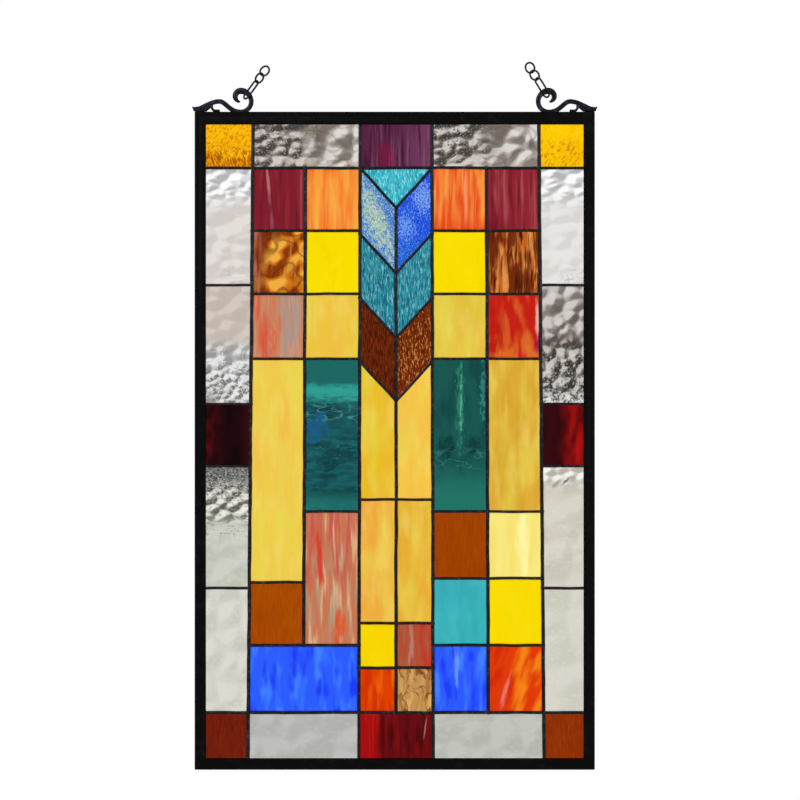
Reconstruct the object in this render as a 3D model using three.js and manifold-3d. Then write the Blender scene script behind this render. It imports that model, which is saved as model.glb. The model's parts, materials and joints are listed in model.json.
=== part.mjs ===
// A hanging stained glass window panel, in millimetres, with +Z up and the front facing -Y.
// Cut panes of coloured glass are held in a lattice of soldered seams. The lattice sits in a black metal channel
// frame, and a scroll hook on each top corner carries a short length of chain.
// The origin is on the panel's centre line, at the mean height of the centres of the two chains' top rings, where
// the panel is hung.
import * as THREE from "three";
import { mergeVertices } from "three/addons/utils/BufferGeometryUtils.js";
import Module from "manifold-3d";

const wasm = await Module();
wasm.setup();

// ---------------------------------------------------------------- driving dimensions
const GAP = 0.3; // air left between pieces that touch on the real panel
const FRAME = { width: 387, height: 636.4, depth: 6.4, wall: 1.2, chamfer: 0.5 };
const FACE = { top: 11.8, side: 10.5, foot: 10.4 }; // how far the frame's lips reach over the glass
const GLASS = { thickness: 3, intoChannel: 5 };
const SEAM = { bead: 3.2, crown: 1, web: 1 };
const HOOK = {
  thickness: 2.4,
  eye: new THREE.Vector2(44.4, 10.3), // centre of the large arc, from the top outer corner of the frame
  largeRadius: 10.2,
  smallRadius: 5.35,
  crest: new THREE.Vector2(23.6, 10.3),
  tail: new THREE.Vector2(-3, 5.1),
};
const RING = { straight: 0, radius: 5.1 };
const CHAIN = {
  wire: 2,
  slack: 1.8, // how far the round foot of the long link stands off the strip it passes round
  bite: 0.3, // how far touching links are fused into each other
  links: [{ straight: 13.3, radius: 3.9 }, RING, RING],
};
// How each chain stands, in degrees: its lean above the horizontal, towards the middle of the panel, and each link's
// turn about the line of the chain, from the foot up. The offset is from the centre of the eye to that line.
const STANDS = {
  left: { lean: 54, offset: 1.7, turns: [-50, 60, -30] },
  right: { lean: 58, offset: -2.2, turns: [-54, 28, -40] },
};

// ---------------------------------------------------------------- where the seams run
// Each upright seam is hand laid and leans a little: its x at the top and at the bottom edge of the frame.
const INSET = SEAM.web / 2 + GAP; // from the middle of a seam to the edge of the glass beside it
const glassEdge = FRAME.width / 2 - FACE.side + GLASS.intoChannel + INSET;
const UPRIGHTS = {
  left: { top: -glassEdge, bottom: -glassEdge },
  a: { top: -137, bottom: -142.2 },
  b: { top: -86.1, bottom: -88.6 },
  c: { top: -33.4, bottom: -34.7 },
  middle: { top: 1.3, bottom: 1.3 },
  d: { top: 36, bottom: 37.3 },
  e: { top: 88.6, bottom: 90.8 },
  f: { top: 139.4, bottom: 144.7 },
  right: { top: glassEdge, bottom: glassEdge },
};
// Each level seam, as its distance below the top edge of the frame.
const LEVELS = {
  top: FACE.top - GLASS.intoChannel - INSET,
  border: 54.2,
  row1: 114.9,
  sideUpper: 167.6,
  row2: 176.1,
  row3: 238.9,
  sideBandTop: 282.7,
  sideBandFoot: 342.8,
  strawSplit: 375.2,
  tealFoot: 386.8,
  russetFoot: 451.4,
  tallStrawFoot: 455.3,
  sideLower: 460.9,
  strawFoot: 494.8,
  blueTop: 516.2,
  smallRow: 538.1,
  footBorder: 581.4,
  bottom: FRAME.height - FACE.foot + GLASS.intoChannel + INSET,
};
// The arrow of chevrons down the middle: four V-shaped seams, each by how far its sides are below the border, and
// how much further down its tip is.
const CHEVRON = { sides: [0, 63.6, 125.6, 187], drop: 38.5 };

const xOf = (upright, down) =>
  THREE.MathUtils.mapLinear(down, 0, FRAME.height, UPRIGHTS[upright].top, UPRIGHTS[upright].bottom);
// The point where an upright seam meets a depth below the top edge, as x and z from the frame's top centre.
const at = (upright, down) => new THREE.Vector2(xOf(upright, down), -down);
const chevronSide = (n) => LEVELS.border + CHEVRON.sides[n];
const chevronTip = (n) => chevronSide(n) + CHEVRON.drop;

// ---------------------------------------------------------------- solids and booleans
function toSolid(geometry) {
  const bare = geometry.clone();
  bare.deleteAttribute("normal");
  bare.deleteAttribute("uv");
  const merged = mergeVertices(bare, 1e-4);
  return new wasm.Manifold(
    new wasm.Mesh({
      numProp: 3,
      vertProperties: merged.getAttribute("position").array,
      triVerts: new Uint32Array(merged.index.array),
    }),
  );
}

function toGeometry(solid) {
  const { numProp, numVert, vertProperties, triVerts } = solid.getMesh();
  const places = new Float32Array(numVert * 3);
  for (let i = 0; i < numVert; i++) {
    places.set(vertProperties.subarray(i * numProp, i * numProp + 3), i * 3);
  }
  const geometry = new THREE.BufferGeometry();
  geometry.setAttribute("position", new THREE.BufferAttribute(places, 3));
  geometry.setIndex(new THREE.BufferAttribute(triVerts, 1));
  geometry.computeVertexNormals();
  return geometry;
}

const fuse = (geometries) => geometries.map(toSolid).reduce((whole, next) => whole.add(next));

// An outline in x and z, given thickness front to back about the plane of the panel. A bevel above zero draws the
// outline in towards both faces, and one below zero flares it.
function plate(outline, thickness, bevel = 0, bevelSegments = 1) {
  const depth = thickness - 2 * Math.abs(bevel);
  const shape = outline instanceof THREE.Shape ? outline : new THREE.Shape(outline);
  const geometry = new THREE.ExtrudeGeometry(shape, {
    depth,
    bevelEnabled: bevel !== 0,
    bevelSize: bevel,
    bevelThickness: Math.abs(bevel),
    bevelOffset: -bevel,
    bevelSegments,
  });
  return geometry.translate(0, 0, -depth / 2).rotateX(Math.PI / 2);
}

function rectangle(xLow, xHigh, zLow, zHigh) {
  return [
    new THREE.Vector2(xLow, zLow),
    new THREE.Vector2(xHigh, zLow),
    new THREE.Vector2(xHigh, zHigh),
    new THREE.Vector2(xLow, zHigh),
  ];
}

// Moves each side of a closed outline inwards by the same distance.
function insetOutline(corners, distance) {
  const inward = THREE.ShapeUtils.isClockWise(corners) ? -distance : distance;
  const sides = corners.map((corner, i) => {
    const along = corners[(i + 1) % corners.length].clone().sub(corner).normalize();
    const inside = new THREE.Vector2(-along.y, along.x);
    return { start: corner.clone().addScaledVector(inside, inward), along };
  });
  return sides.map((side, i) => {
    const before = sides[(i + sides.length - 1) % sides.length];
    const across = side.start.clone().sub(before.start);
    const reach = across.cross(side.along) / before.along.cross(side.along);
    return before.start.clone().addScaledVector(before.along, reach);
  });
}

// A strip of changing width along a centre line, as one closed outline.
function ribbon(centreLine, widthAt, steps) {
  const sides = [-1, 1].map((side) =>
    Array.from({ length: steps + 1 }, (_, i) => {
      const t = i / steps;
      const along = centreLine.getTangent(t);
      const across = new THREE.Vector2(-along.y, along.x);
      return centreLine.getPoint(t).addScaledVector(across, (side * widthAt(t)) / 2);
    }),
  );
  return [...sides[0], ...sides[1].reverse()];
}

// ---------------------------------------------------------------- finishes
const blackMetal = new THREE.MeshStandardMaterial({ color: 0x141416, roughness: 0.45, metalness: 0.6 });
const hookMetal = new THREE.MeshStandardMaterial({ color: 0x1b1d2a, roughness: 0.4, metalness: 0.7 });
const solder = new THREE.MeshStandardMaterial({ color: 0x232327, roughness: 0.4, metalness: 0.7 });
const glassKinds = {
  clear: 0xdedad6,
  smoky: 0x9a948c,
  amberGranite: 0xf7ab0c,
  plum: 0x6a2444,
  maroon: 0x7c1f33,
  orange: 0xf58332,
  yellow: 0xfbe000,
  straw: 0xeed251,
  cream: 0xf9ea8c,
  agate: 0xa65a1c,
  salmon: 0xc98267,
  teal: 0x1f6662,
  turquoise: 0x3fb2ba,
  skyGranite: 0x7fa9c9,
  cobaltGranite: 0x2f63dd,
  brownRipple: 0x78300c,
  russet: 0xa44c05,
  brick: 0x741f10,
  cobalt: 0x2c58fb,
  flame: 0xe04a0c,
  ruby: 0x6e0d12,
  veined: 0xcfae6c,
};
const glassMaterials = Object.fromEntries(
  Object.entries(glassKinds).map(([kind, color]) => [
    kind,
    new THREE.MeshStandardMaterial({ color, roughness: 0.15, metalness: 0, transparent: true, opacity: 0.8 }),
  ]),
);

// ---------------------------------------------------------------- the channel frame
// A U-shaped channel bent round the panel, open towards the glass and closed on the outside.
function buildFrame() {
  const halfWidth = FRAME.width / 2;
  const ring = new THREE.Shape(rectangle(-halfWidth, halfWidth, -FRAME.height, 0));
  ring.holes.push(
    new THREE.Path(
      rectangle(-halfWidth + FACE.side, halfWidth - FACE.side, FACE.foot - FRAME.height, -FACE.top),
    ),
  );
  const channel = rectangle(
    -halfWidth + FRAME.wall,
    halfWidth - FRAME.wall,
    FRAME.wall - FRAME.height,
    -FRAME.wall,
  );
  const solid = toSolid(plate(ring, FRAME.depth, FRAME.chamfer)).subtract(
    toSolid(plate(channel, FRAME.depth - 2 * FRAME.wall)),
  );
  const mesh = new THREE.Mesh(toGeometry(solid), blackMetal);
  mesh.name = "frame";
  return mesh;
}

// ---------------------------------------------------------------- the layout of the panes
// A four-sided pane between two upright and two level seams.
const quad = (left, right, top, foot) => [
  at(left, LEVELS[foot]),
  at(right, LEVELS[foot]),
  at(right, LEVELS[top]),
  at(left, LEVELS[top]),
];

// Half of the band between two V-shaped seams, on the side of upright seam c or d.
const chevronHalf = (n, side) => [
  at(side, chevronSide(n)),
  at(side, chevronSide(n + 1)),
  at("middle", chevronTip(n + 1)),
  at("middle", chevronTip(n)),
];

// Two neighbours of one glass are one solid, with a soldered seam over each face where they meet.
function chevronPair(n) {
  const halves = [chevronHalf(n, "c"), chevronHalf(n, "d")];
  const [[leftTop, leftFoot, foot, tip], [rightTop, rightFoot]] = halves;
  return { outline: [tip, rightTop, rightFoot, foot, leftFoot, leftTop], halves };
}

const levelPair = (left, right, top, middle, foot) => ({
  outline: quad(left, right, top, foot),
  halves: [quad(left, right, top, middle), quad(left, right, middle, foot)],
});

function strawUpperPair() {
  const last = CHEVRON.sides.length - 1;
  const side = chevronSide(last);
  const tip = at("middle", chevronTip(last));
  const halves = ["c", "d"].map((column) => [
    at(column, side),
    at(column, LEVELS.strawSplit),
    at("middle", LEVELS.strawSplit),
    tip,
  ]);
  const [[leftTop, leftFoot], [rightTop, rightFoot]] = halves;
  return { outline: [tip, rightTop, rightFoot, leftFoot, leftTop], halves };
}

const single = (outline) => ({ outline, halves: [outline] });
const pane = (name, kind, place) => ({ name, kind, ...(Array.isArray(place) ? single(place) : place) });

const PANES = [
  // the border, clockwise from the top left corner
  pane("corner_top_left", "amberGranite", quad("left", "a", "top", "border")),
  pane("top_clear_left", "smoky", quad("a", "c", "top", "border")),
  pane("top_plum", "plum", quad("c", "d", "top", "border")),
  pane("top_clear_right", "smoky", quad("d", "f", "top", "border")),
  pane("corner_top_right", "amberGranite", quad("f", "right", "top", "border")),
  pane("right_clear_upper", "clear", quad("f", "right", "border", "sideUpper")),
  pane("right_clear_middle", "smoky", quad("f", "right", "sideUpper", "sideBandTop")),
  pane("right_red_band", "ruby", quad("f", "right", "sideBandTop", "sideBandFoot")),
  pane("right_clear_lower_pair", "clear", levelPair("f", "right", "sideBandFoot", "sideLower", "footBorder")),
  pane("corner_bottom_right", "brick", quad("f", "right", "footBorder", "bottom")),
  pane("bottom_clear_right", "clear", quad("d", "f", "footBorder", "bottom")),
  pane("bottom_ruby", "ruby", quad("c", "d", "footBorder", "bottom")),
  pane("bottom_clear_left", "clear", quad("a", "c", "footBorder", "bottom")),
  pane("corner_bottom_left", "brick", quad("left", "a", "footBorder", "bottom")),
  pane("left_clear_lower_pair", "clear", levelPair("left", "a", "sideBandFoot", "sideLower", "footBorder")),
  pane("left_red_band", "ruby", quad("left", "a", "sideBandTop", "sideBandFoot")),
  pane("left_clear_middle", "clear", quad("left", "a", "sideUpper", "sideBandTop")),
  pane("left_clear_upper", "clear", quad("left", "a", "border", "sideUpper")),
  // the two columns left of the arrow
  pane("maroon_left", "maroon", quad("a", "b", "border", "row1")),
  pane("orange_left", "orange", quad("b", "c", "border", "row1")),
  pane("agate_left", "agate", quad("a", "b", "row1", "row2")),
  pane("yellow_left", "yellow", quad("b", "c", "row1", "row2")),
  pane("salmon_left", "salmon", quad("a", "b", "row2", "row3")),
  pane("straw_left", "straw", quad("b", "c", "row2", "row3")),
  pane("straw_tall_left", "straw", quad("a", "b", "row3", "tallStrawFoot")),
  pane("teal_tall_left", "teal", quad("b", "c", "row3", "tealFoot")),
  pane("russet_left", "russet", quad("a", "b", "tallStrawFoot", "blueTop")),
  pane("salmon_tall_left", "salmon", quad("b", "c", "tealFoot", "blueTop")),
  pane("cobalt_wide_left", "cobalt", quad("a", "c", "blueTop", "footBorder")),
  // the arrow of chevrons, and the panes under it
  pane("arrow_top", "turquoise", [
    at("c", chevronSide(0)),
    at("middle", chevronTip(0)),
    at("d", chevronSide(0)),
  ]),
  pane("arrow_sky_left", "skyGranite", chevronHalf(0, "c")),
  pane("arrow_cobalt_right", "cobaltGranite", chevronHalf(0, "d")),
  pane("arrow_turquoise_pair", "turquoise", chevronPair(1)),
  pane("arrow_brown_pair", "brownRipple", chevronPair(2)),
  pane("straw_upper_pair", "straw", strawUpperPair()),
  pane("straw_lower_pair", "straw", {
    outline: quad("c", "d", "strawSplit", "strawFoot"),
    halves: [quad("c", "middle", "strawSplit", "strawFoot"), quad("middle", "d", "strawSplit", "strawFoot")],
  }),
  pane("yellow_small", "yellow", quad("c", "middle", "strawFoot", "smallRow")),
  pane("salmon_small", "salmon", quad("middle", "d", "strawFoot", "smallRow")),
  pane("flame_small", "flame", quad("c", "middle", "smallRow", "footBorder")),
  pane("veined_small", "veined", quad("middle", "d", "smallRow", "footBorder")),
  // the two columns right of the arrow
  pane("orange_right", "orange", quad("d", "e", "border", "row1")),
  pane("maroon_right", "maroon", quad("e", "f", "border", "row1")),
  pane("yellow_right", "yellow", quad("d", "e", "row1", "row2")),
  pane("agate_right", "agate", quad("e", "f", "row1", "row2")),
  pane("straw_right", "straw", quad("d", "e", "row2", "row3")),
  pane("flame_right", "flame", quad("e", "f", "row2", "row3")),
  pane("teal_tall_right", "teal", quad("d", "e", "row3", "tealFoot")),
  pane("straw_tall_right", "straw", quad("e", "f", "row3", "tealFoot")),
  pane("russet_right", "russet", quad("d", "e", "tealFoot", "russetFoot")),
  pane("cream_right", "cream", quad("e", "f", "tealFoot", "russetFoot")),
  pane("turquoise_right", "turquoise", quad("d", "e", "russetFoot", "blueTop")),
  pane("yellow_lower_right", "yellow", quad("e", "f", "russetFoot", "blueTop")),
  pane("cobalt_right", "cobalt", quad("d", "e", "blueTop", "footBorder")),
  pane("flame_lower_right", "flame", quad("e", "f", "blueTop", "footBorder")),
];

function buildPane({ name, kind, outline }) {
  const cut = insetOutline(outline, INSET);
  const centre = new THREE.Box2().setFromPoints(cut).getCenter(new THREE.Vector2());
  const centred = cut.map((point) => point.clone().sub(centre));
  const mesh = new THREE.Mesh(plate(centred, GLASS.thickness), glassMaterials[kind]);
  mesh.name = name;
  mesh.position.set(centre.x, 0, centre.y);
  return mesh;
}

// ---------------------------------------------------------------- the soldered seams
// The lattice is what the panes leave of the frame's opening: a thin web between their edges, and over each face
// a rounded bead that overlaps them. Where two neighbours are one solid, the seam is the beads alone.
function buildSeams() {
  const face = GLASS.thickness / 2 + GAP;
  const opening = rectangle(
    -FRAME.width / 2 + FACE.side + GAP,
    FRAME.width / 2 - FACE.side - GAP,
    FACE.foot + GAP - FRAME.height,
    -FACE.top - GAP,
  );
  const fill = (thickness) => toSolid(plate(opening, thickness));
  const overall = 2 * (face + SEAM.crown);
  const betweenBeads = PANES.flatMap(({ halves }) => halves).map((corners) =>
    plate(insetOutline(corners, SEAM.bead / 2), overall, -SEAM.crown, 2),
  );
  const betweenWebs = PANES.map(({ outline }) => plate(insetOutline(outline, SEAM.web / 2), overall));
  const beads = fill(overall).subtract(fuse(betweenBeads)).subtract(fill(2 * face));
  const webs = fill(2 * face + SEAM.crown).subtract(fuse(betweenWebs));
  const mesh = new THREE.Mesh(toGeometry(beads.add(webs)), solder);
  mesh.name = "solder_seams";
  return mesh;
}

// ---------------------------------------------------------------- a scroll hook
// Drawn from the frame's top outer corner, with +X towards the middle of the panel. The strip rises from its tail
// over a crest, dips to the frame, runs round the large half circle and curls in on the small one.
function scrollLine() {
  const { eye, crest, tail, largeRadius, smallRadius } = HOOK;
  const dip = new THREE.Vector2(eye.x, eye.y - largeRadius);
  const smallCentre = eye.y + largeRadius - smallRadius;
  const quarter = Math.PI / 2;
  const line = new THREE.CurvePath();
  line.add(
    new THREE.CubicBezierCurve(tail, new THREE.Vector2(4.5, -0.5), new THREE.Vector2(13, crest.y), crest),
  );
  line.add(
    new THREE.CubicBezierCurve(
      crest,
      new THREE.Vector2(crest.x + 6.5, crest.y),
      new THREE.Vector2(dip.x - 11.5, dip.y),
      dip,
    ),
  );
  line.add(new THREE.EllipseCurve(eye.x, eye.y, largeRadius, largeRadius, -quarter, quarter));
  line.add(
    new THREE.EllipseCurve(eye.x, smallCentre, smallRadius, smallRadius, quarter, 3 * quarter),
  );
  return line;
}

// The strip is 4.7 across on its slopes and swells where it curls in. It comes to a point at its tail and its tip.
function scrollWidth(t) {
  const point = Math.sqrt(Math.min(1, t / 0.12, (1 - t) / 0.07));
  const swell = 1.7 * Math.exp(-(((t - 0.83) / 0.08) ** 2));
  return 0.2 + (4.5 + swell) * point;
}

// The strip, and the foot that fills the corner below its tail and reaches on to a small block, with a three-cornered
// hole left above the frame.
function buildHook() {
  const foot = [
    new THREE.Vector2(-0.2, 0),
    new THREE.Vector2(12, 0),
    new THREE.Vector2(14.6, 3.1),
    new THREE.Vector2(16.7, 0),
    new THREE.Vector2(24.4, 0),
    new THREE.Vector2(24.4, 2.5),
    new THREE.Vector2(18.8, 2.6),
    new THREE.Vector2(17.4, 5.4),
    new THREE.Vector2(16.6, 8),
    new THREE.Vector2(9, 5),
    new THREE.Vector2(-2, 4.4),
  ];
  const below = rectangle(-10, 70, -10, GAP);
  const solid = fuse([
    plate(ribbon(scrollLine(), scrollWidth, 64), HOOK.thickness),
    plate(foot, HOOK.thickness),
  ]).subtract(toSolid(plate(below, 4 * HOOK.thickness)));
  return new THREE.Mesh(toGeometry(solid), hookMetal);
}

// ---------------------------------------------------------------- a length of chain
// A wire link standing along +Z, made from a ring by drawing its two ends apart.
function buildLink({ radius, straight }) {
  const ringSteps = 16;
  const wireSides = 6;
  const geometry = new THREE.TorusGeometry(radius, CHAIN.wire / 2, wireSides, ringSteps);
  geometry.rotateZ(Math.PI / ringSteps); // a straight side then runs between two steps of the ring
  geometry.rotateX(Math.PI / 2);
  const places = geometry.getAttribute("position");
  for (let i = 0; i < places.count; i++) {
    places.setZ(i, places.getZ(i) + (Math.sign(places.getZ(i)) * straight) / 2);
  }
  return geometry;
}

// How far up the line of the chain the strip's inner edge is, where the long link passes round it.
function bearing({ lean, offset }) {
  const aboveTheEye = 0.78; // as a share of the strip's length
  const inner = HOOK.largeRadius - scrollWidth(aboveTheEye) / 2;
  const aside = offset * Math.sin(THREE.MathUtils.degToRad(lean));
  const along = offset * Math.cos(THREE.MathUtils.degToRad(lean));
  return Math.sqrt(inner ** 2 - aside ** 2) - along;
}

// The long link bears on the inside of the hook's large arc, and each ring hangs on the link before it. This is
// how far the centre of each link stands up the line of the chain.
function linkCentres(stand) {
  let foot = bearing(stand) - CHAIN.slack - CHAIN.wire / 2;
  return CHAIN.links.map(({ radius, straight }) => {
    const centre = foot + radius + straight / 2;
    foot = centre + radius + straight / 2 - CHAIN.wire + CHAIN.bite;
    return centre;
  });
}

function buildChain(stand) {
  const centres = linkCentres(stand);
  const links = CHAIN.links.map((link, i) =>
    buildLink(link).rotateZ(THREE.MathUtils.degToRad(stand.turns[i])).translate(0, 0, centres[i]),
  );
  const chain = new THREE.Mesh(toGeometry(fuse(links)), hookMetal);
  chain.position.set(HOOK.eye.x + stand.offset, 0, HOOK.eye.y);
  chain.rotation.y = THREE.MathUtils.degToRad(90 - stand.lean);
  return chain;
}

// ---------------------------------------------------------------- the whole panel
// A hook and its chain, turned about the upright so that both corners curl towards the middle.
function buildCorner(side) {
  const corner = new THREE.Group();
  const hook = buildHook();
  const chain = buildChain(STANDS[side]);
  hook.name = "scroll_hook_" + side;
  chain.name = "chain_" + side;
  corner.add(hook, chain);
  corner.position.x = side === "left" ? -FRAME.width / 2 : FRAME.width / 2;
  corner.rotation.z = side === "left" ? 0 : Math.PI;
  return corner;
}

// The centre of a chain's top ring, above the top edge of the frame.
const ringHeight = (stand) =>
  HOOK.eye.y + linkCentres(stand).at(-1) * Math.sin(THREE.MathUtils.degToRad(stand.lean));

const panel = new THREE.Group();
panel.add(buildFrame(), buildSeams(), ...PANES.map(buildPane), buildCorner("left"), buildCorner("right"));
panel.position.z = -(ringHeight(STANDS.left) + ringHeight(STANDS.right)) / 2;

const hungPanel = new THREE.Group();
hungPanel.add(panel);
export default hungPanel;
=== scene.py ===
# %% [markdown]
# # A stained glass window panel
# This lesson dresses a hanging stained glass panel in Blender. The real one is sixty cut pieces of
# coloured glass, wrapped at their edges, soldered together along every seam and held in a black channel
# frame. The packed model already has every piece in its place, so each step below makes the finer thing
# that stands where a solid stood.

# %% The packed model
import json
import math
import bmesh
import bpy
from mathutils import Matrix, Vector, noise
from mathutils.geometry import interpolate_bezier


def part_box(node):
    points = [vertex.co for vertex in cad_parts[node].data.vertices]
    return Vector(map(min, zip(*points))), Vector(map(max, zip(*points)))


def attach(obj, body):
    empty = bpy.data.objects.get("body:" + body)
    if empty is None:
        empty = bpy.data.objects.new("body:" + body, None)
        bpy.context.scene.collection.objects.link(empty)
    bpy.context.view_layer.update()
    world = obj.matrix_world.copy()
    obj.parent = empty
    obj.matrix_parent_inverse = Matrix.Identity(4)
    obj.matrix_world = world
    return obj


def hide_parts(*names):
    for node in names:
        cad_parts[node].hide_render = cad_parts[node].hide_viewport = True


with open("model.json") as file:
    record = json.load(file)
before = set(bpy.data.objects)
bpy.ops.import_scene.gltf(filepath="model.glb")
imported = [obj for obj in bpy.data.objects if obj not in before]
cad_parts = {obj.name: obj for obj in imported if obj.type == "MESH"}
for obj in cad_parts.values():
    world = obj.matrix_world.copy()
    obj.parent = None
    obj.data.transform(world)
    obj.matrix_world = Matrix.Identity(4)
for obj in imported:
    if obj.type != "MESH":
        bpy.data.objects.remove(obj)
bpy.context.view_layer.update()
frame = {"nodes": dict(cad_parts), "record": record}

MM = 0.001
frame_low, frame_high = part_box("frame")
print("nodes in the model:", len(frame["nodes"]))
print("frame, in mm:", [round(side / MM, 1) for side in frame_high - frame_low])

# %% [markdown]
# ## Camera
# The panel is looked at square on, from far enough away that its sides stay parallel. A long lens does
# that. The camera comes first, so that every later step can be judged in the finished picture.

# %% Camera
BELOW_THE_TOP = 0.2788
EYE = Vector((0.0051, -1.829, frame_high.z - BELOW_THE_TOP))
camera = bpy.data.objects.new("camera", bpy.data.cameras.new("camera"))
camera.location = EYE
camera.rotation_euler = (math.radians(90), 0, 0)
camera.data.lens = 85
camera.data.sensor_width = 36
bpy.context.scene.collection.objects.link(camera)
bpy.context.scene.camera = camera
view_width = -EYE.y * camera.data.sensor_width / camera.data.lens
print("the view is", round(view_width / MM), "mm wide at the panel")

# %% [markdown]
# ## Daylight
# Stained glass is seen with light behind it. The world is a white sky for everything that looks straight
# at it or looks through glass, and a quieter grey for reflections, so that the black metal stays black.
# Soft lamps, two in front and one behind, give the solder and the hooks their gentle highlights. They are
# not seen through the glass.

# %% Daylight
SKY = 1.0
ROOM = 0.42
scene = bpy.context.scene
scene.view_settings.view_transform = "Standard"
world = bpy.data.worlds.new("daylight")
world.use_nodes = True
scene.world = world
sky = world.node_tree
path = sky.nodes.new("ShaderNodeLightPath")
either = sky.nodes.new("ShaderNodeMath")
either.operation = "MAXIMUM"
level = sky.nodes.new("ShaderNodeMapRange")
level.inputs["To Min"].default_value = ROOM
level.inputs["To Max"].default_value = SKY
sky.links.new(path.outputs["Is Camera Ray"], either.inputs[0])
sky.links.new(path.outputs["Is Transmission Ray"], either.inputs[1])
sky.links.new(either.outputs[0], level.inputs["Value"])
sky.links.new(level.outputs[0], sky.nodes["Background"].inputs["Strength"])
sky.nodes["Background"].inputs["Color"].default_value = (1, 1, 1, 1)


def lamp(name, place, size, watts, aim):
    light = bpy.data.lights.new(name, "AREA")
    light.shape = "DISK"
    light.size = size
    light.energy = watts
    made = bpy.data.objects.new(name, light)
    made.location = place
    made.rotation_euler = (Vector(aim) - Vector(place)).to_track_quat("-Z", "Y").to_euler()
    made.visible_transmission = False
    scene.collection.objects.link(made)
    return made


panel_middle = (0, 0, -0.35)
lamps = [
    lamp("lamp_left", (-1.5, -1.9, 0.9), 1.2, 30, panel_middle),
    lamp("lamp_right", (1.7, -1.6, 0.2), 1.0, 16, panel_middle),
    lamp("lamp_back", (0.6, 2.0, 0.8), 1.2, 22, panel_middle),
]
print("lamps:", [made.name for made in lamps])

# %% [markdown]
# ## Floor
# A plain pale floor lies well below the hanging panel. It catches a little shade, and its far edge stays
# under the edge of the picture.

# %% Floor
FLOOR = {"below": -1.1, "side": 3.0}


def object_from(bm, name, smooth=True):
    mesh = bpy.data.meshes.new(name)
    bm.to_mesh(mesh)
    bm.free()
    mesh.polygons.foreach_set("use_smooth", [smooth] * len(mesh.polygons))
    made = bpy.data.objects.new(name, mesh)
    scene.collection.objects.link(made)
    return made


ground = bmesh.new()
bmesh.ops.create_grid(ground, x_segments=4, y_segments=4, size=FLOOR["side"] / 2)
bmesh.ops.translate(ground, vec=(0, 0, FLOOR["below"]), verts=ground.verts)
floor = object_from(ground, "floor", smooth=False)
print("floor at", FLOOR["below"], "m")

# %% [markdown]
# ## Writing a finish
# A finish is a sum of patterns: a base, a streak, a fleck. Blender keeps such sums as nodes and links.
# Two small classes let them be written as plain Python. A Value is something that changes over the
# surface, and adding or multiplying it makes the Math nodes. A Finish is the material that they belong
# to, and its method `node` makes every node: the settings first, then what goes into its sockets.

# %% Values and finishes


class Value:
    def __init__(self, finish, socket):
        self.finish = finish
        self.socket = socket

    def math(self, operation, first, second):
        return self.finish.node("ShaderNodeMath", {"operation": operation}, {0: first, 1: second})

    def __add__(self, other):
        return self.math("ADD", self, other)

    def __sub__(self, other):
        return self.math("SUBTRACT", self, other)

    def __mul__(self, other):
        return self.math("MULTIPLY", self, other)

    def __abs__(self):
        return self.finish.node("ShaderNodeMath", {"operation": "ABSOLUTE"}, {0: self})

    __radd__ = __add__
    __rmul__ = __mul__


def linear(colour):
    """A colour as it is named on a screen, 0 to 255, as the light that it stands for."""
    shares = [part / 255 for part in colour]
    return (*[s / 12.92 if s <= 0.04045 else ((s + 0.055) / 1.055) ** 2.4 for s in shares], 1.0)


class Finish:
    def __init__(self, name, **plain):
        self.material = bpy.data.materials.new(name)
        self.material.use_nodes = True
        self.tree = self.material.node_tree
        self.shader = self.tree.nodes["Principled BSDF"]
        for socket, value in plain.items():
            self.shader.inputs[socket.replace("_", " ")].default_value = value

    def feed(self, socket, value):
        if isinstance(value, Value):
            self.tree.links.new(value.socket, socket)
        elif socket.type == "RGBA" and len(value) == 3:
            socket.default_value = linear(value)
        else:
            socket.default_value = value

    def node(self, kind, settings=None, sockets=None, output=0):
        made = self.tree.nodes.new(kind)
        for name, value in (settings or {}).items():
            if name == "stops":
                self.set_stops(made.color_ramp, value)
            else:
                setattr(made, name, value)
        for socket, value in (sockets or {}).items():
            self.feed(made.inputs[socket], value)
        return Value(self, made.outputs[output])

    def set_stops(self, ramp, stops):
        while len(ramp.elements) < len(stops):
            ramp.elements.new(0.5)
        for element, (place, colour) in zip(ramp.elements, stops):
            element.position = place
            element.color = linear(colour)

    def show(self, **surface):
        """What changes over the surface goes to the shader's own sockets."""
        for socket, value in surface.items():
            self.feed(self.shader.inputs[socket.replace("_", " ")], value)
        return self.material

    def mix(self, share, first, second):
        settings = {"data_type": "RGBA"}
        return self.node("ShaderNodeMix", settings, {0: share, 6: first, 7: second}, output=2)

    def rise(self, value, low, high):
        """0 where the value is at low, 1 where it is at high, and smooth between."""
        sockets = {"Value": value, "From Min": low, "From Max": high}
        return self.node("ShaderNodeMapRange", {"interpolation_type": "SMOOTHSTEP"}, sockets)

    def mapping(self, vector, kind="POINT", **sockets):
        return self.node("ShaderNodeMapping", {"vector_type": kind}, {"Vector": vector, **sockets})

    def noise(self, vector, scale=1.0, detail=2.0, distortion=0.0):
        sockets = {"Vector": vector, "Scale": scale, "Detail": detail, "Distortion": distortion}
        return self.node("ShaderNodeTexNoise", {}, sockets)

    def cells(self, vector):
        settings = {"voronoi_dimensions": "2D", "feature": "SMOOTH_F1"}
        sockets = {"Vector": vector, "Scale": 1.0, "Smoothness": 0.4}
        return self.node("ShaderNodeTexVoronoi", settings, sockets)

    def own_place(self):
        return self.node("ShaderNodeTexCoord", output=3)

    def bump(self, height, depth):
        """Depth is in mm."""
        return self.node("ShaderNodeBump", {}, {"Height": height, "Distance": depth * MM})


print("screen grey 128 is", round(linear((128, 128, 128))[0], 3), "of white light")

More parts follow.
